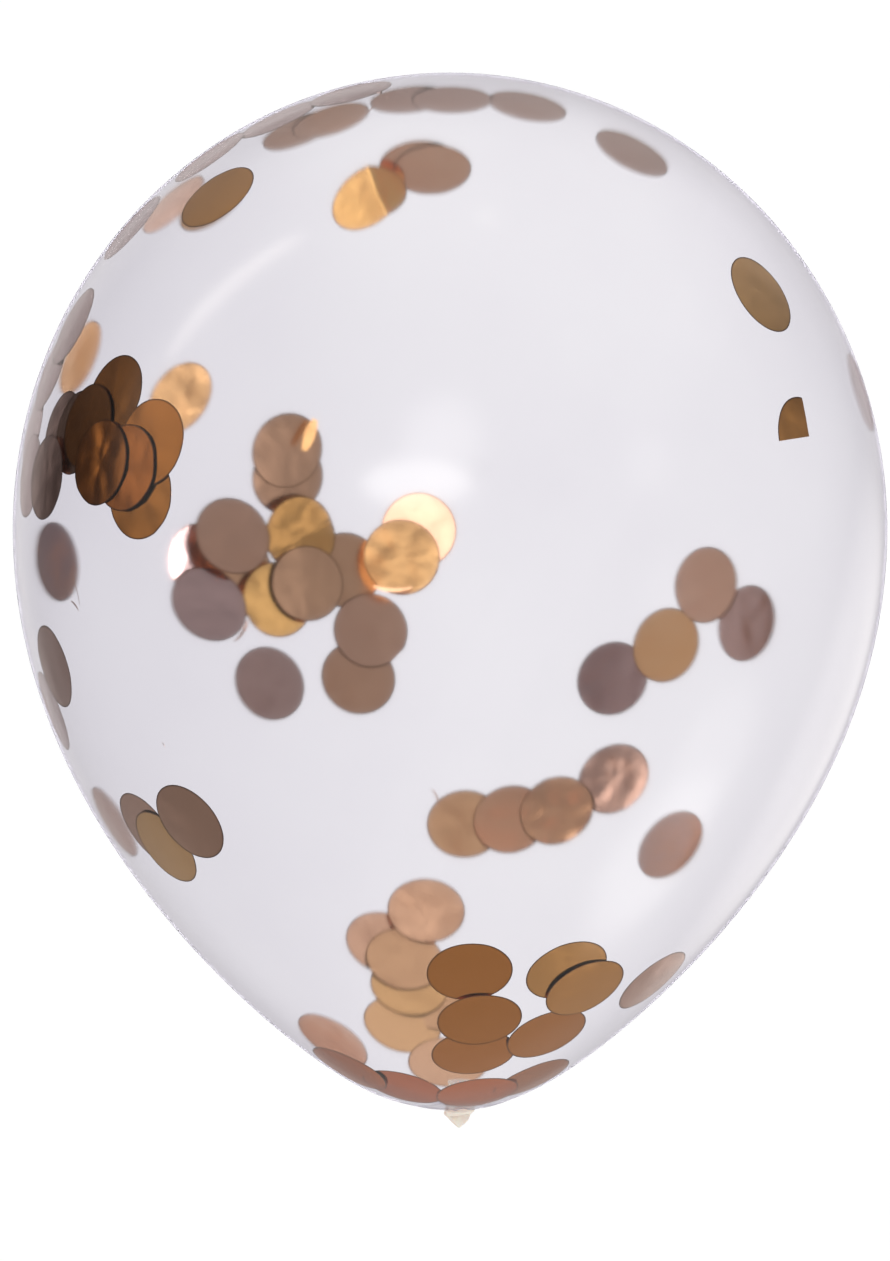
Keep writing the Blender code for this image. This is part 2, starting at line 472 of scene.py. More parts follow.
def disc_template(name, cuts=()):
    """A flat round disc of unit radius, with its own place kept as a UV map, and cut straight where asked."""
    mesh = bpy.data.meshes.new(name)
    work = bmesh.new()
    middle = work.verts.new((0, 0, 0))
    rings = []
    for ring in range(1, DISC_RINGS + 1):
        radius = ring / DISC_RINGS
        row = []
        for side in range(DISC_SIDES):
            angle = 2 * math.pi * side / DISC_SIDES
            row.append(work.verts.new((radius * math.cos(angle), radius * math.sin(angle), 0)))
        rings.append(row)
    for side in range(DISC_SIDES):
        after = (side + 1) % DISC_SIDES
        work.faces.new((middle, rings[0][side], rings[0][after]))
        for inner, outer in zip(rings, rings[1:]):
            work.faces.new((inner[side], outer[side], outer[after], inner[after]))
    for place, away in cuts:
        everything = list(work.verts) + list(work.edges) + list(work.faces)
        bmesh.ops.bisect_plane(work, geom=everything, plane_co=place, plane_no=away, clear_outer=True)
    places = work.loops.layers.uv.new("disc_place")
    for face in work.faces:
        for loop in face.loops:
            loop[places].uv = (loop.vert.co.x / 2 + 0.5, loop.vert.co.y / 2 + 0.5)
    work.to_mesh(mesh)
    work.free()
    return bpy.data.objects.new(name, mesh)


def strip_template(name, half_width, bow, steps=12):
    """A narrow strip of unit half length along X, whose foil is all like the middle of a disc."""
    points = []
    for step in range(steps + 1):
        along = 2 * step / steps - 1
        taper = half_width * (1 - SLIVER_TAPER * along * along)
        drift = bow * (1 - along * along)
        points.append((along, drift - taper, 0))
        points.append((along, drift + taper, 0))
    faces = [(2 * step, 2 * step + 2, 2 * step + 3, 2 * step + 1) for step in range(steps)]
    mesh = bpy.data.meshes.new(name)
    mesh.from_pydata(points, [], faces)
    places = mesh.uv_layers.new(name="disc_place")
    for corner in places.data:
        corner.uv = (0.5, 0.5)
    return bpy.data.objects.new(name, mesh)


def room_direction(off_axis, around):
    """A direction from degrees off the camera's axis and degrees round it from the photograph's right."""
    off = math.radians(off_axis)
    turn = math.radians(around)
    side = math.sin(off)
    return Vector((side * math.cos(turn), side * math.sin(turn), math.cos(off)))


def slope_to_mirror(target, view, facing):
    """The slope, per metre along the skin, at which a disc mirrors that direction of the room."""
    wanted = (room_direction(*target) - view).normalized()
    along = wanted.dot(facing)
    return -(wanted - along * facing) / along


def anchor_row(camera, skin_tree, far, pixel, layer, tone, kind=WHOLE_DISC, spin=0.0, size=DISC_DIAMETER / 2):
    """What the tree has to know of one disc: its place on the skin, its turn, size, layer, tone and slopes."""
    place, facing = wall_behind(pixel, camera, skin_tree, far)
    photo_up = camera.matrix_world.to_3x3() @ Vector((0, 1, 0))
    up = (photo_up - photo_up.dot(facing) * facing).normalized()
    across = up.cross(facing)
    side = -1 if far else 1
    upright = Matrix((side * across, up, side * facing)).transposed()
    turn = upright @ Matrix.Rotation(spin, 3, "Z")
    return {
        "home": place,
        "facing": facing,
        "turn": turn.to_quaternion(),
        "kind": kind,
        "size": size,
        "lift": FIRST_LIFT + LIFT_STEP * layer,
        "tone": tone,
        "crumple": 1.0,
        "lean": Vector((0, 0, 0)),
        "fold": Vector((0, 0, 0)),
        "fold_start": 0.0,
        "stiff": 0.0,
    }


def lean_and_fold(row, camera, skin_tree, far, mirrored):
    """Leans a disc, and folds one side of it, so that each part mirrors its own direction of the room."""
    view = (row["home"] - camera.matrix_world.translation).normalized()
    row["lean"] = slope_to_mirror(mirrored[0], view, row["facing"])
    row["lift"] += row["lean"].length * row["size"]
    row["stiff"] = 1.0
    if len(mirrored) > 1:
        folded = slope_to_mirror(mirrored[1], view, row["facing"])
        bend = row["lean"] - folded
        on_fold = wall_behind(mirrored[2], camera, skin_tree, far)[0]
        row["fold"] = bend
        row["fold_start"] = (on_fold - row["home"]).dot(bend)


ANCHOR_ATTRIBUTES = (
    ("home", "FLOAT_VECTOR"),
    ("facing", "FLOAT_VECTOR"),
    ("turn", "QUATERNION"),
    ("kind", "INT"),
    ("size", "FLOAT"),
    ("lift", "FLOAT"),
    ("tone", "FLOAT"),
    ("crumple", "FLOAT"),
    ("lean", "FLOAT_VECTOR"),
    ("fold", "FLOAT_VECTOR"),
    ("fold_start", "FLOAT"),
    ("stiff", "FLOAT"),
)


def confetti_anchors(camera, skin_tree):
    """One loose point per disc on the skin, which carries that disc's values."""
    chance = random.Random(CONFETTI_SEED)
    rows = []
    for far, discs in ((False, NEAR_DISCS), (True, FAR_DISCS)):
        for name, x, y, layer, tone in discs:
            kind = WHOLE_DISC
            spin = chance.uniform(0, 2 * math.pi)
            if name == NOTCHED:
                kind = NOTCHED_DISC
                spin = 0.0
            row = anchor_row(camera, skin_tree, far, (x, y), layer, tone, kind=kind, spin=spin)
            row["crumple"] = CRUMPLED.get(name, 1.0)
            if name in LEANS:
                lean_and_fold(row, camera, skin_tree, far, LEANS[name])
            rows.append(row)
    rows.append(anchor_row(camera, skin_tree, False, *OFFCUT, kind=QUARTER))
    for name, far, kind, layer, tone, start, end in SLIVERS:
        middle = ((start[0] + end[0]) / 2, (start[1] + end[1]) / 2)
        first = wall_behind(start, camera, skin_tree, far)[0]
        last = wall_behind(end, camera, skin_tree, far)[0]
        spin = math.atan2(start[1] - end[1], end[0] - start[0])
        size = (last - first).length / 2
        row = anchor_row(camera, skin_tree, far, middle, layer, tone, kind=kind, spin=spin, size=size)
        if name in LEANS:
            lean_and_fold(row, camera, skin_tree, far, LEANS[name])
        rows.append(row)
    mesh = bpy.data.meshes.new("confetti_anchors")
    mesh.from_pydata([row["home"] for row in rows], [], [])
    for name, kind in ANCHOR_ATTRIBUTES:
        attribute = mesh.attributes.new(name, kind, "POINT")
        for slot, row in zip(attribute.data, rows):
            if kind == "FLOAT_VECTOR":
                slot.vector = row[name]
            else:
                slot.value = row[name]
    anchors = bpy.data.objects.new("confetti", mesh)
    bpy.context.scene.collection.objects.link(anchors)
    return anchors


class TreeMaker:
    """Short calls for a tree of nodes: each makes a node, links its inputs and gives its output."""

    def __init__(self, tree):
        self.tree = tree

    def feed(self, socket, value):
        if isinstance(value, bpy.types.NodeSocket):
            self.tree.links.new(value, socket)
        else:
            socket.default_value = value

    def attribute(self, name, kind):
        node = self.tree.nodes.new("GeometryNodeInputNamedAttribute")
        node.data_type = kind
        node.inputs["Name"].default_value = name
        return node.outputs["Attribute"]

    def math(self, operation, *values):
        node = self.tree.nodes.new("ShaderNodeMath")
        node.operation = operation
        for socket, value in zip(node.inputs, values):
            self.feed(socket, value)
        return node.outputs["Value"]

    def vector(self, operation, first, second):
        """Vector maths; the second value of SCALE is a number."""
        node = self.tree.nodes.new("ShaderNodeVectorMath")
        node.operation = operation
        self.feed(node.inputs[0], first)
        self.feed(node.inputs["Scale"] if operation == "SCALE" else node.inputs[1], second)
        return node.outputs["Value"] if operation in ("DOT_PRODUCT", "DISTANCE") else node.outputs["Vector"]

    def noise(self, place, scale, detail, roughness=0.5):
        node = self.tree.nodes.new("ShaderNodeTexNoise")
        node.inputs["Detail"].default_value = detail
        node.inputs["Roughness"].default_value = roughness
        self.feed(node.inputs["Vector"], place)
        self.feed(node.inputs["Scale"], scale)
        return node.outputs["Fac"]

    def map_range(self, value, start, end, to=(0.0, 1.0), smooth=False, label=""):
        """Maps the values from start to end onto those of to, evenly or with soft ends."""
        node = self.tree.nodes.new("ShaderNodeMapRange")
        node.label = label
        node.interpolation_type = "SMOOTHSTEP" if smooth else "LINEAR"
        for name, limit in zip(("From Min", "From Max", "To Min", "To Max"), (start, end, *to)):
            node.inputs[name].default_value = limit
        self.feed(node.inputs["Value"], value)
        return node.outputs["Result"]

    def mix(self, share, first, second, blend="MIX"):
        """Goes from the first colour to the second, or multiplies it by the second, by a share."""
        node = self.tree.nodes.new("ShaderNodeMix")
        node.data_type = "RGBA"
        node.blend_type = blend
        for number, value in ((0, share), (6, first), (7, second)):
            self.feed(node.inputs[number], value)
        return node.outputs[2]

    def bump(self, height, strength, distance):
        node = self.tree.nodes.new("ShaderNodeBump")
        node.inputs["Strength"].default_value = strength
        node.inputs["Distance"].default_value = distance
        self.feed(node.inputs["Height"], height)
        return node.outputs["Normal"]


CLING_INPUTS = (
    ("Geometry", "NodeSocketGeometry"),
    ("Pieces", "NodeSocketCollection"),
    ("Skin", "NodeSocketObject"),
    ("Cling", "NodeSocketFloat"),
    ("Least Gap", "NodeSocketFloat"),
    ("Crumple Depth", "NodeSocketFloat"),
    ("Crumple Size", "NodeSocketFloat"),
)


def confetti_tree(material):
    """Sets a piece of foil on each anchor, lays it against the skin, leans, folds and crumples it."""
    tree = bpy.data.node_groups.new("cling_to_skin", "GeometryNodeTree")
    for name, kind in CLING_INPUTS:
        tree.interface.new_socket(name, in_out="INPUT", socket_type=kind)
    tree.interface.new_socket("Geometry", in_out="OUTPUT", socket_type="NodeSocketGeometry")
    nodes = tree.nodes
    make = TreeMaker(tree)
    given = nodes.new("NodeGroupInput").outputs

    pieces = nodes.new("GeometryNodeCollectionInfo")
    pieces.inputs["Separate Children"].default_value = True
    pieces.inputs["Reset Children"].default_value = True
    make.feed(pieces.inputs["Collection"], given["Pieces"])
    placed = nodes.new("GeometryNodeInstanceOnPoints")
    placed.inputs["Pick Instance"].default_value = True
    make.feed(placed.inputs["Points"], given["Geometry"])
    make.feed(placed.inputs["Instance"], pieces.outputs["Instances"])
    make.feed(placed.inputs["Instance Index"], make.attribute("kind", "INT"))
    make.feed(placed.inputs["Rotation"], make.attribute("turn", "QUATERNION"))
    make.feed(placed.inputs["Scale"], make.attribute("size", "FLOAT"))
    real = nodes.new("GeometryNodeRealizeInstances")
    make.feed(real.inputs["Geometry"], placed.outputs["Instances"])

    flat = nodes.new("GeometryNodeInputPosition").outputs["Position"]
    facing = make.attribute("facing", "FLOAT_VECTOR")
    skin = nodes.new("GeometryNodeObjectInfo")
    make.feed(skin.inputs["Object"], given["Skin"])
    cast = nodes.new("GeometryNodeRaycast")
    make.feed(cast.inputs["Target Geometry"], skin.outputs["Geometry"])
    inside = make.vector("SCALE", facing, -CAST_START)
    make.feed(cast.inputs["Source Position"], make.vector("ADD", flat, inside))
    make.feed(cast.inputs["Ray Direction"], facing)
    cast.inputs["Ray Length"].default_value = CAST_LENGTH
    to_hit = make.vector("SUBTRACT", cast.outputs["Hit Position"], flat)
    to_skin = make.vector("DOT_PRODUCT", to_hit, facing)

    from_home = make.vector("SUBTRACT", flat, make.attribute("home", "FLOAT_VECTOR"))
    leaning = make.vector("DOT_PRODUCT", from_home, make.attribute("lean", "FLOAT_VECTOR"))
    past_fold = make.vector("DOT_PRODUCT", from_home, make.attribute("fold", "FLOAT_VECTOR"))
    folded = make.math("MAXIMUM", make.math("SUBTRACT", past_fold, make.attribute("fold_start", "FLOAT")), 0.0)

    fineness = make.math("DIVIDE", 1.0, given["Crumple Size"])
    waves = make.noise(flat, fineness, CRUMPLE_DETAIL, CRUMPLE_ROUGHNESS)
    crumple = make.math("MULTIPLY", make.attribute("crumple", "FLOAT"), given["Crumple Depth"])
    crumpled = make.math("MULTIPLY", make.math("SUBTRACT", waves, 0.5), crumple)

    supple = make.math("SUBTRACT", 1.0, make.attribute("stiff", "FLOAT"))
    bent = make.math("MULTIPLY", to_skin, make.math("MULTIPLY", given["Cling"], supple))
    height = make.math("ADD", bent, leaning)
    height = make.math("SUBTRACT", height, make.attribute("lift", "FLOAT"))
    height = make.math("SUBTRACT", height, folded)
    height = make.math("SUBTRACT", height, crumpled)
    height = make.math("MINIMUM", height, make.math("SUBTRACT", to_skin, given["Least Gap"]))

    settled = nodes.new("GeometryNodeSetPosition")
    make.feed(settled.inputs["Geometry"], real.outputs["Geometry"])
    make.feed(settled.inputs["Position"], make.vector("ADD", flat, make.vector("SCALE", facing, height)))
    smooth = nodes.new("GeometryNodeSetShadeSmooth")
    make.feed(smooth.inputs["Geometry"], settled.outputs["Geometry"])
    finish = nodes.new("GeometryNodeSetMaterial")
    finish.inputs["Material"].default_value = material
    make.feed(finish.inputs["Geometry"], smooth.outputs["Geometry"])
    make.feed(nodes.new("NodeGroupOutput").inputs["Geometry"], finish.outputs["Geometry"])
    return tree


def set_inputs(modifier, **values):
    """Sets a tree's named inputs by their sockets' identifiers."""
    wanted = {name.replace("_", " "): value for name, value in values.items()}
    for socket in modifier.node_group.interface.items_tree:
        if socket.item_type == "SOCKET" and socket.in_out == "INPUT" and socket.name in wanted:
            modifier[socket.identifier] = wanted.pop(socket.name)
    if wanted:
        raise KeyError(f"the tree has no input named {sorted(wanted)}")


def as_plain_mesh(thing):
    """Turns an object into a plain mesh with no modifiers."""
    evaluated = thing.evaluated_get(bpy.context.evaluated_depsgraph_get())
    mesh = bpy.data.meshes.new_from_object(evaluated)
    thing.modifiers.clear()
    old = thing.data
    thing.data = mesh
    bpy.data.meshes.remove(old)
    mesh.name = thing.name


def build_confetti(camera, skin, skin_tree):
    """All the foil as one mesh: a thin piece laid on each anchor."""
    confetti = confetti_anchors(camera, skin_tree)
    pieces = bpy.data.collections.new("foil_pieces")
    for template in (
        disc_template("a_whole_disc"),
        disc_template("b_quarter", QUARTER_CUTS),
        disc_template("c_notched_disc", NOTCH_CUTS),
        strip_template("d_sliver", SLIVER_HALF_WIDTH, SLIVER_BOW),
        strip_template("e_thread", THREAD_HALF_WIDTH, SLIVER_BOW),
        strip_template("f_flake", FLAKE_HALF_WIDTH, 0.0),
    ):
        pieces.objects.link(template)
    cling = confetti.modifiers.new("cling", "NODES")
    cling.node_group = confetti_tree(copper_foil())
    set_inputs(
        cling,
        Pieces=pieces,
        Skin=skin,
        Cling=CLING,
        Least_Gap=LEAST_GAP,
        Crumple_Depth=CRUMPLE_DEPTH,
        Crumple_Size=CRUMPLE_SIZE,
    )
    thick = confetti.modifiers.new("foil thickness", "SOLIDIFY")
    thick.thickness = FOIL_THICKNESS
    thick.offset = 0
    as_plain_mesh(confetti)
    confetti.data.set_sharp_from_angle(angle=FOIL_SHARP_ANGLE)
    for template in list(pieces.objects):
        bpy.data.objects.remove(template)
    bpy.data.collections.remove(pieces)
    return confetti


# Knot


def sweep(work, stations, flutes, closed, sides=TUBE_SIDES):
    """A fluted tube through stations, each a middle and two half axes; the flutes wind round it."""
    count, depth, turns = flutes
    rows = []
    for number, (middle, first, second) in enumerate(stations):
        row = []
        for side in range(sides):
            angle = 2 * math.pi * side / sides
            winding = 2 * math.pi * turns * number / len(stations)
            reach = 1 + depth * math.cos(count * angle + winding)
            out = first * math.cos(angle) + second * math.sin(angle)
            row.append(work.verts.new(middle + out * reach))
        rows.append(row)
    joins = list(zip(rows, rows[1:]))
    if closed:
        joins.append((rows[-1], rows[0]))
    else:
        work.faces.new(rows[0])
        work.faces.new(reversed(rows[-1]))
    for upper, lower in joins:
        for side in range(sides):
            after = (side + 1) % sides
            work.faces.new((upper[side], upper[after], lower[after], lower[side]))


def stem_stations(steps=24):
    """The gathered neck, from inside the envelope to the loop that locks it, drawn in under the loop."""
    stations = []
    for step in range(steps + 1):
        share = step / steps
        radius = STEM_RADIUS * (STEM_ROOT_GIRTH - STEM_DRAWN_IN * share)
        middle = Vector((0, STEM_ROOT - share * (STEM_ROOT + KNOT_STANDOFF), 0))
        stations.append((middle, Vector((radius, 0, 0)), Vector((0, 0, radius))))
    return stations


def ring_stations(middle, across, upward, strand, swell, steps=72):
    """A ring of rolled latex with these half axes; its strand swells and thins a little on the way round."""
    axis = across.cross(upward).normalized()
    stations = []
    for step in range(steps):
        angle = 2 * math.pi * step / steps
        out = across * math.cos(angle) + upward * math.sin(angle)
        radius = strand * (1 + swell * math.sin(2 * angle + SWELL_START))
        stations.append((middle + out, out.normalized() * radius, axis * radius))
    return stations


def tail_axes():
    """Along the free end to its mouth, across it as the balloon shows it, and through its thickness."""
    along = MOUTH_FACING.normalized()
    across = along.cross(Vector((0, 0, 1))).normalized()
    return along, across, across.cross(along)


def tail_stations(steps=24, cup_steps=6):
    """The flattened free end from inside the knot to its mouth, and back down the inside of its hollow."""
    along, across, through = tail_axes()
    stations = []
    for step in range(steps + 1):
        share = step / steps
        widened = TAIL_WIDENING * smooth_step(share, 0, TAIL_WIDE_AT)
        narrowed = TAIL_NARROWING * smooth_step(share, TAIL_NARROWS_FROM, 1)
        girth = TAIL_ROOT_GIRTH + widened - narrowed
        middle = MOUTH - along * TAIL_LENGTH * (1 - share)
        stations.append((middle, across * TAIL_WIDTH / 2 * girth, through * TAIL_THICKNESS / 2 * girth))
    for step in range(cup_steps + 1):
        share = step / cup_steps
        middle = MOUTH - along * MOUTH_DEPTH * share
        girth = HOLLOW_GIRTH - HOLLOW_CLOSING * share
        stations.append((middle, across * TAIL_WIDTH / 2 * girth, through * TAIL_THICKNESS / 2 * girth))
    return stations


def build_knot():
    """The tied neck: stem, two loops that cross, flattened tail and rolled lip, melted together."""
    loop_radius = KNOT_WIDTH / 2 - STRAND_RADIUS
    across_tail, through_tail = tail_axes()[1:]
    work = bmesh.new()
    sweep(work, stem_stations(), STEM_FLUTES, closed=False)
    for drop, tilt in ((KNOT_STANDOFF, LOCK_TILT), (KNOT_STANDOFF + CROSSING_DROP, CROSSING_TILT)):
        across = Vector((math.cos(tilt), -math.sin(tilt), 0)) * loop_radius
        upward = Vector((0, 0, loop_radius))
        loop = ring_stations(Vector((0, -drop, 0)), across, upward, STRAND_RADIUS, LOOP_SWELL)
        sweep(work, loop, LOOP_FLUTES, closed=True)
    sweep(work, tail_stations(), TAIL_FLUTES, closed=False)
    lip_across = across_tail * (MOUTH_GIRTH * TAIL_WIDTH / 2 - LIP_ROLL_RADIUS)
    lip_through = through_tail * (MOUTH_GIRTH * TAIL_THICKNESS / 2 - LIP_ROLL_RADIUS)
    lip = ring_stations(MOUTH, lip_across, lip_through, LIP_ROLL_RADIUS, LIP_SWELL)
    sweep(work, lip, LIP_FLUTES, closed=True, sides=LIP_SIDES)
    bmesh.ops.recalc_face_normals(work, faces=work.faces)
    mesh = bpy.data.meshes.new("knot")
    work.to_mesh(mesh)
    work.free()
    mesh.transform(Matrix.Translation((KNOT_OFFSET, -reach_at(0), AXIS_HEIGHT)))
    knot = bpy.data.objects.new("knot", mesh)
    bpy.context.scene.collection.objects.link(knot)
    melt = knot.modifiers.new("melt together", "REMESH")
    melt.mode = "VOXEL"
    melt.voxel_size = KNOT_GRAIN
    soften = knot.modifiers.new("soften", "SMOOTH")
    soften.iterations = KNOT_SMOOTHING
    as_plain_mesh(knot)
    knot.data.shade_smooth()
    knot.data.materials.append(cream_latex())
    return knot


# Materials


MOTTLE_DETAIL = 4
MOTTLE_RANGE = (0.35, 0.65)           # values of the noise at which the latex is at its thickest and thinnest
MOTTLE_INPUTS = (
    ("Vector", "NodeSocketVector"),
    ("Scale", "NodeSocketFloat"),
    ("Thin", "NodeSocketColor"),
    ("Thick", "NodeSocketColor"),
)

# Clear latex. The film bends light very little on its way through, so that what lies behind is only softened
FILM = {
    "Alpha": 0.9,
    "Transmission Weight": 1.0,
    "Roughness": 0.56,
    "IOR": 1.006,
    "Coat IOR": 1.5,
    "Coat Roughness": 0.16,
}
FILM_MOTTLE_SCALE = 14
FILM_THIN = (0.776, 0.757, 0.80, 1)
FILM_THICK = (0.737, 0.713, 0.766, 1)
# Painted shade: the film's colour is multiplied darker towards the left, where the room it mirrors and the
# light it spreads are dimmer. It is also darker at the rim, partly for the longer path through the film seen
# edge on and partly for the dark room mirrored there.
FILM_PAINTED_SHADE = (0.79, 0.78, 0.815, 1)  # multiplies the colour at the rim and towards the left
FILM_BUMP = (0.06, 0.001)             # strength and distance
LEFT_SHADE_RANGE = (0.01, -0.13)            # X at which the deeper colour starts and is at its most
LEFT_SHADE_MOST = 0.70
RIM_SHADE_RANGE = (0.45, 1.0)               # how far the skin turns from the eye, where the rim starts and is full
GLOSS_RANGE = (0.80, 0.95)            # the same, where the gloss starts to fade and is gone
GLOSS_INSIDE = 0.03                   # gloss of the skin seen from inside, as a share

# Foil, by tone: mauve, rose, gold, copper and red copper. The mauve end is partly painted veil: the milky
# film's haze over far and edge-on discs, painted into the foil's colour
FOIL_TONES = (
    (0.0, (0.62, 0.46, 0.465, 1)),
    (0.35, (0.88, 0.54, 0.36, 1)),
    (0.65, (0.96, 0.57, 0.20, 1)),
    (0.85, (0.72, 0.28, 0.055, 1)),
    (1.0, (0.86, 0.22, 0.06, 1)),
)
DISC_MIDDLE = (0.5, 0.5, 0)
# A dark line round each piece of foil: partly its cut edge, partly painted shade of the gap where discs
# overlap
CUT_EDGE_SHADE_RANGE = (0.478, 0.492)       # distance from the middle of the disc's own map, whose edge is at 0.5
CUT_EDGE_AND_GAP_SHADE = (0.16, 0.07, 0.03, 1)
FOIL_CREASE = (160, 3)                # scale and detail
FOIL_BUMP = (0.12, 0.0006)
FOIL_ROUGHNESS = (0.14, 0.28)

# Gathered latex
GATHERED = {
    "Subsurface Weight": 0.35,
    "Subsurface Scale": 0.002,
    "Subsurface Radius": (1.0, 0.7, 0.5),
}
KNOT_MOTTLE_SCALE = 420
KNOT_THIN = (0.82, 0.70, 0.62, 1)
KNOT_THICK = (0.86, 0.80, 0.70, 1)
# Painted shade: the knot's colour is multiplied darker where its folds are deep
KNOT_FOLD_SHADE = (0.42, 0.33, 0.29, 1)     # multiplies the colour deep in the folds
FOLD_SHADE_RANGE = (0.49, 0.42)             # pointiness at which a fold starts and is deep
ALONG_FOLDS = (1.0, 0.25, 1.0)        # draws the fine creases out along the neck
KNOT_CREASE = (1500, 2)
KNOT_BUMP = (0.35, 0.0003)
KNOT_ROUGHNESS = (0.30, 0.50)

# Floor, which shines with its own even light
FLOOR = {
    "Base Color": (0.02, 0.02, 0.02, 1),
    "Roughness": 0.8,
    "Specular IOR Level": 0.0,
    "Emission Color": (1, 1, 1, 1),
    "Emission Strength": 1.0,
}
NOT_MIRRORED = 0.5                    # above this glossy depth, a ray has been mirrored at least once


def new_material(name, plain_values):
    """A material and its Principled BSDF, with the values that are the same all over."""
    material = bpy.data.materials.new(name)
    material.use_nodes = True
    nodes = material.node_tree.nodes
    shader = nodes["Principled BSDF"]
    for socket, value in plain_values.items():
        shader.inputs[socket].default_value = value
    return material, nodes, shader


def latex_mottle():
    """How rubber varies where it is stretched unevenly: a soft mottle from thin to thick, and its height."""
    group = bpy.data.node_groups.new("latex_mottle", "ShaderNodeTree")
    for name, kind in MOTTLE_INPUTS:
        group.interface.new_socket(name, in_out="INPUT", socket_type=kind)
    group.interface.new_socket("Color", in_out="OUTPUT", socket_type="NodeSocketColor")
    group.interface.new_socket("Height", in_out="OUTPUT", socket_type="NodeSocketFloat")
    make = TreeMaker(group)
    given = group.nodes.new("NodeGroupInput").outputs
    height = make.noise(given["Vector"], given["Scale"], MOTTLE_DETAIL)
    thinness = make.map_range(height, *MOTTLE_RANGE)
    put_out = group.nodes.new("NodeGroupOutput").inputs
    make.feed(put_out["Color"], make.mix(thinness, given["Thick"], given["Thin"]))
    make.feed(put_out["Height"], height)
    return group


def add_mottle(tree, vector, scale, thin, thick):
    """Uses the mottle that the skin and the knot share."""
    node = tree.nodes.new("ShaderNodeGroup")
    node.node_tree = bpy.data.node_groups.get("latex_mottle") or latex_mottle()
    node.inputs["Scale"].default_value = scale
    node.inputs["Thin"].default_value = thin
    node.inputs["Thick"].default_value = thick
    tree.links.new(vector, node.inputs["Vector"])
    return node.outputs


def clear_latex():
    """Milky clear latex film: most light goes straight through, a share is spread, and the surface shines. Its
    colour is darkened towards the left as painted shade. At the rim it is darkened partly for the longer path
    through the film and partly as painted shade.
    """
    material, nodes, shader = new_material("milky_latex", FILM)
    make = TreeMaker(material.node_tree)
    place = nodes.new("ShaderNodeTexCoord").outputs["Object"]
    mottle = add_mottle(material.node_tree, place, FILM_MOTTLE_SCALE, FILM_THIN, FILM_THICK)
    across = nodes.new("ShaderNodeSeparateXYZ")
    make.feed(across.inputs["Vector"], place)
    # painted shade: darker towards the left and at the rim
    left = make.map_range(across.outputs["X"], *LEFT_SHADE_RANGE, to=(0.0, LEFT_SHADE_MOST), smooth=True)
    turned_away = nodes.new("ShaderNodeLayerWeight").outputs["Facing"]
    rim = make.map_range(turned_away, *RIM_SHADE_RANGE, smooth=True)
    painted_shade = make.math("MAXIMUM", left, rim)
    make.feed(shader.inputs["Base Color"], make.mix(painted_shade, mottle["Color"], FILM_PAINTED_SHADE, "MULTIPLY"))
    inside = nodes.new("ShaderNodeNewGeometry").outputs["Backfacing"]
    gloss = make.map_range(inside, 0.0, 1.0, to=(1.0, GLOSS_INSIDE))
    kept = make.map_range(turned_away, *GLOSS_RANGE, to=(1.0, 0.0), smooth=True)
    make.feed(shader.inputs["Coat Weight"], make.math("MULTIPLY", gloss, kept))
    make.feed(shader.inputs["Normal"], make.bump(mottle["Height"], *FILM_BUMP))
    return material


def copper_foil():
    """Rose gold mirror foil, lightly crumpled, with a thin dark line round each piece: partly its cut edge,
    partly painted shade of the gap where discs overlap.
    """
    material, nodes, shader = new_material("rose_gold_foil", {"Metallic": 1.0})
    make = TreeMaker(material.node_tree)
    own = nodes.new("ShaderNodeAttribute")
    own.attribute_name = "tone"
    tone = nodes.new("ShaderNodeValToRGB")
    stops = tone.color_ramp.elements
    stops[0].color = FOIL_TONES[0][1]
    stops[1].color = FOIL_TONES[-1][1]
    for position, colour in FOIL_TONES[1:-1]:
        stops.new(position).color = colour
    make.feed(tone.inputs["Fac"], own.outputs["Fac"])
    on_disc = nodes.new("ShaderNodeUVMap")
    on_disc.uv_map = "disc_place"
    # dark line round the piece: cut edge and painted shade of the gap
    edge = make.map_range(make.vector("DISTANCE", on_disc.outputs["UV"], DISC_MIDDLE), *CUT_EDGE_SHADE_RANGE)
    make.feed(shader.inputs["Base Color"], make.mix(edge, tone.outputs["Color"], CUT_EDGE_AND_GAP_SHADE))
    crease = make.noise(nodes.new("ShaderNodeTexCoord").outputs["Object"], *FOIL_CREASE)
    make.feed(shader.inputs["Normal"], make.bump(crease, *FOIL_BUMP))
    make.feed(shader.inputs["Roughness"], make.map_range(crease, 0.0, 1.0, to=FOIL_ROUGHNESS))
    return material


def cream_latex():
    """Layers of gathered latex: cream, satin, finely creased along the folds, and a little translucent, with
    painted shade darkening the deep folds.
    """
    material, nodes, shader = new_material("cream_latex", GATHERED)
    make = TreeMaker(material.node_tree)
    place = nodes.new("ShaderNodeTexCoord").outputs["Object"]
    mottle = add_mottle(material.node_tree, place, KNOT_MOTTLE_SCALE, KNOT_THIN, KNOT_THICK)
    # painted shade deep in the folds
    fold = make.map_range(nodes.new("ShaderNodeNewGeometry").outputs["Pointiness"], *FOLD_SHADE_RANGE)
    make.feed(shader.inputs["Base Color"], make.mix(fold, mottle["Color"], KNOT_FOLD_SHADE, "MULTIPLY"))
    crease = make.noise(make.vector("MULTIPLY", place, ALONG_FOLDS), *KNOT_CREASE)
    make.feed(shader.inputs["Normal"], make.bump(crease, *KNOT_BUMP))
    make.feed(shader.inputs["Roughness"], make.map_range(crease, 0.0, 1.0, to=KNOT_ROUGHNESS))
    return material


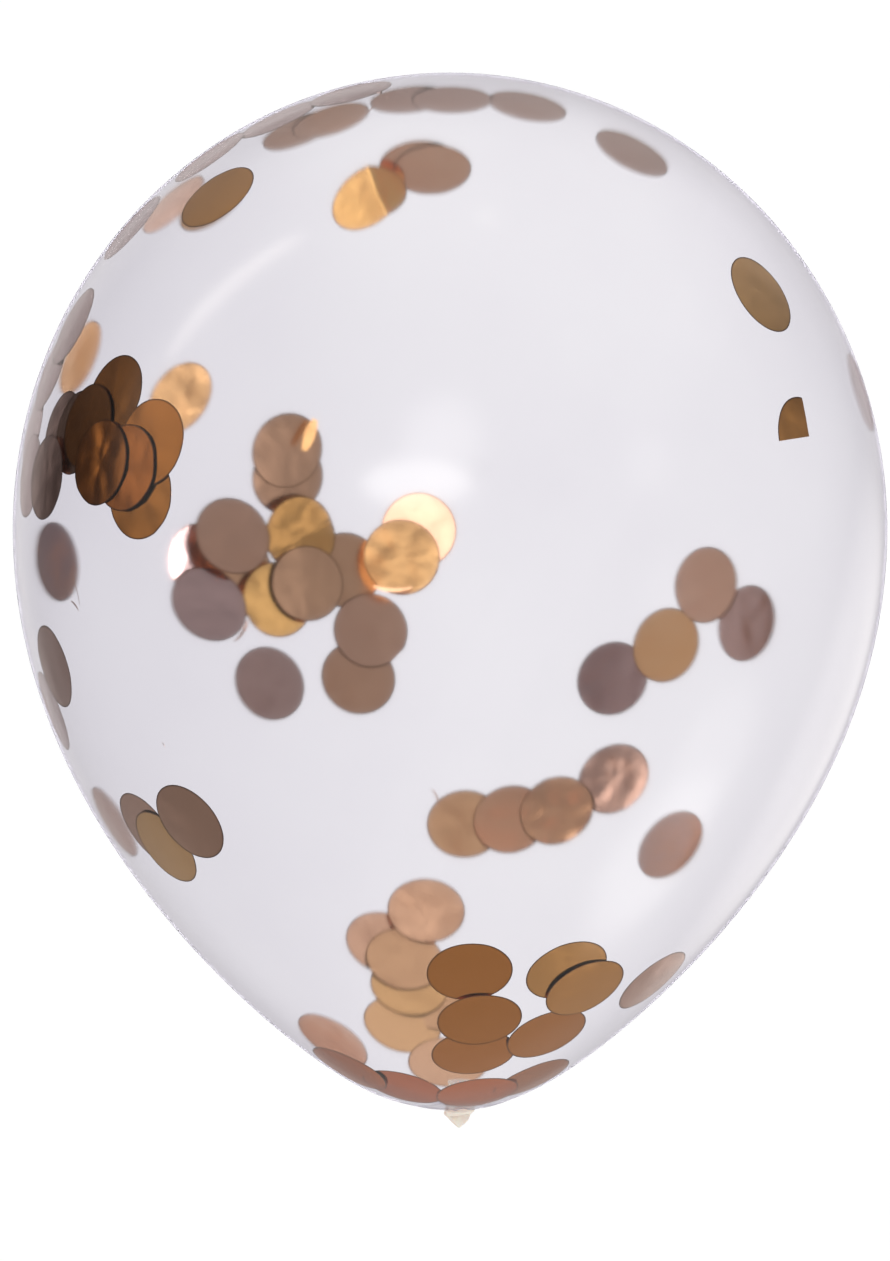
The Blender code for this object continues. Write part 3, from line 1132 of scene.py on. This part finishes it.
def floor_white():
    """A lit white table. What the foil and the gloss mirror passes through it to the room beyond."""
    material, nodes, shader = new_material("floor_white", FLOOR)
    make = TreeMaker(material.node_tree)
    ray = nodes.new("ShaderNodeLightPath")
    clear = nodes.new("ShaderNodeBsdfTransparent")
    mix = nodes.new("ShaderNodeMixShader")
    make.feed(mix.inputs["Fac"], make.math("GREATER_THAN", ray.outputs["Glossy Depth"], NOT_MIRRORED))
    make.feed(mix.inputs[1], shader.outputs["BSDF"])
    make.feed(mix.inputs[2], clear.outputs["BSDF"])
    make.feed(nodes["Material Output"].inputs["Surface"], mix.outputs["Shader"])
    return material


# Stage


FLOOR_SIZE = 12
FLOOR_GAP = 0.0002        # keeps the table's surface apart from the skin that rests on it


def add_floor():
    """The table that the balloon lies on."""
    bpy.ops.mesh.primitive_plane_add(size=FLOOR_SIZE)
    floor = bpy.context.object
    floor.name = "floor"
    floor.location.z = -FLOOR_GAP
    floor.data.materials.append(floor_white())


# The room that the foil and the gloss mirror: its even light, the tint of what the patches add, and the
# least that is left. Each patch has a direction, the angles where it is full and where it ends, and the
# light that it adds or takes
ROOM_BASE = (0.24, 0.23, 0.225)
ROOM_TINT = (1.0, 0.97, 0.93)
ROOM_LEAST = (0.02, 0.018, 0.018)
WHITE_DOME = (1.0, 1.0, 1.0, 1)
ROOM_PATCHES = (
    ("overhead", (30, 0), 50, 80, 0.10),
    ("bright_wall", BRIGHT_WALL, 3, 13, 2.3),
    ("ceiling", (99, 77), 15, 55, 0.59),
    ("left_wall", (79, 159), 12, 27, 0.34),
    ("upper_left_wall", (100, 130), 15, 45, 0.14),
    ("dark_left", (119, 163), 8, 28, -0.235),
    ("low_right_wall", (139, -26), 9, 22, 0.95),
    ("low_left_wall", (120, -133), 5, 14, 0.14),
    ("low_wall", (104, -86), 12, 45, 0.19),
    ("under_wall", (150, -90), 15, 50, 0.15),
    ("dark_right", (114, 33), 8, 22, -0.10),
    ("under_right", (155, 40), 12, 36, 0.12),
    ("high_right_wall", (138, 50), 8, 22, 0.18),
    ("rim_left", (157, 155), 12, 28, 0.30),
    ("behind", (178, 0), 12, 40, 0.28),
    ("straight_on", (180, 0), 6, 16, 0.15),
    ("warm_right", WARM_RIGHT, 5, 11, 0.6),
    ("warm_high_right", WARM_HIGH_RIGHT, 3, 8, 0.9),
    ("warm_low_right", WARM_LOW_RIGHT, 6, 14, 0.9),
    ("warm_low", WARM_LOW, 7, 16, 1.7),
)


def add_world():
    """A white dome for all that is lit or seen through, and a dim room for all that is mirrored."""
    world = bpy.data.worlds.new("studio")
    bpy.context.scene.world = world
    world.use_nodes = True
    tree = world.node_tree
    nodes = tree.nodes
    make = TreeMaker(tree)
    ray = nodes.new("ShaderNodeLightPath")
    mirrored = make.math("GREATER_THAN", ray.outputs["Glossy Depth"], NOT_MIRRORED)
    direction = nodes.new("ShaderNodeTexCoord").outputs["Generated"]
    light = 0.0
    for name, centre, full, end, added in ROOM_PATCHES:
        closeness = make.vector("DOT_PRODUCT", direction, room_direction(*centre))
        limits = (math.cos(math.radians(end)), math.cos(math.radians(full)))
        patch = make.map_range(closeness, *limits, to=(0.0, added), smooth=True, label=name)
        light = make.math("ADD", light, patch)
    gained = make.vector("SCALE", ROOM_TINT, light)
    room = make.vector("MAXIMUM", make.vector("ADD", ROOM_BASE, gained), ROOM_LEAST)
    make.feed(nodes["Background"].inputs["Color"], make.mix(mirrored, WHITE_DOME, room))


# Lamps, each as the two pixels between which the skin or the foil mirrors it, whether that is on the far
# wall, its width across that line, its light and colour, and the one piece that it lights, if not all
LAMP_DISTANCE = 1.2
LAMPS = (
    ("window_strip", ((300, 235), (165, 360)), False, 0.10, 3.7, (1.0, 0.93, 0.82), None),
    ("soft_box", ((356, 482), (468, 486)), False, 0.22, 6, (1.0, 0.97, 0.92), "latex_skin"),
    ("small_pane", ((482, 214), (496, 222)), False, 0.04, 3.0, (1.0, 0.95, 0.85), None),
    ("low_pane", ((675, 767), (712, 718)), False, 0.03, 2.0, (1.0, 0.95, 0.85), None),
    ("side_window", ((182, 548), (182, 578)), True, 0.10, 450, (1.0, 0.98, 0.96), "confetti"),
)


def mirror_place(pixel, far, camera, skin_tree):
    """Where a lamp stands so that the skin mirrors it at this pixel of the photograph."""
    place, normal = wall_behind(pixel, camera, skin_tree, far)
    view = (place - camera.matrix_world.translation).normalized()
    return place + view.reflect(normal) * LAMP_DISTANCE


def add_lamp(name, ends, far, width, light, colour, lit, camera, skin_tree):
    """A flat lamp that faces the balloon and lights all of it, or one piece."""
    first, last = (mirror_place(pixel, far, camera, skin_tree) for pixel in ends)
    middle = (first + last) / 2
    along = last - first
    away = (middle - Vector((0, 0, AXIS_HEIGHT))).normalized()
    across = away.cross(along).normalized()
    square = across.cross(away)
    data = bpy.data.lights.new(name, "AREA")
    data.shape = "ELLIPSE"
    data.size = along.length
    data.size_y = width
    # The power of a flat lamp is pi times its light, times its area
    data.energy = light * math.pi * (math.pi / 4 * along.length * width)
    data.color = colour
    lamp = bpy.data.objects.new(name, data)
    bpy.context.scene.collection.objects.link(lamp)
    lamp.matrix_world = Matrix.Translation(middle) @ Matrix((square, across, away)).transposed().to_4x4()
    lamp.visible_camera = False
    if lit is not None:
        receivers = bpy.data.collections.new(name + "_lights")
        receivers.objects.link(bpy.data.objects[lit])
        lamp.light_linking.receiver_collection = receivers


def main():
    bpy.context.scene.view_settings.view_transform = "Standard"
    camera = add_camera()
    skin = build_skin()
    skin.data.materials.append(clear_latex())
    bpy.context.view_layer.update()
    corners = [vertex.co for vertex in skin.data.vertices]
    skin_tree = BVHTree.FromPolygons(corners, [face.vertices for face in skin.data.polygons])
    confetti = build_confetti(camera, skin, skin_tree)
    knot = build_knot()
    for piece, slot in ((skin, "clear_latex"), (confetti, "copper_foil"), (knot, "gathered_latex")):
        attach(piece, "root")
    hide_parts("balloon")
    add_floor()
    add_world()
    for lamp in LAMPS:
        add_lamp(*lamp, camera, skin_tree)


main()
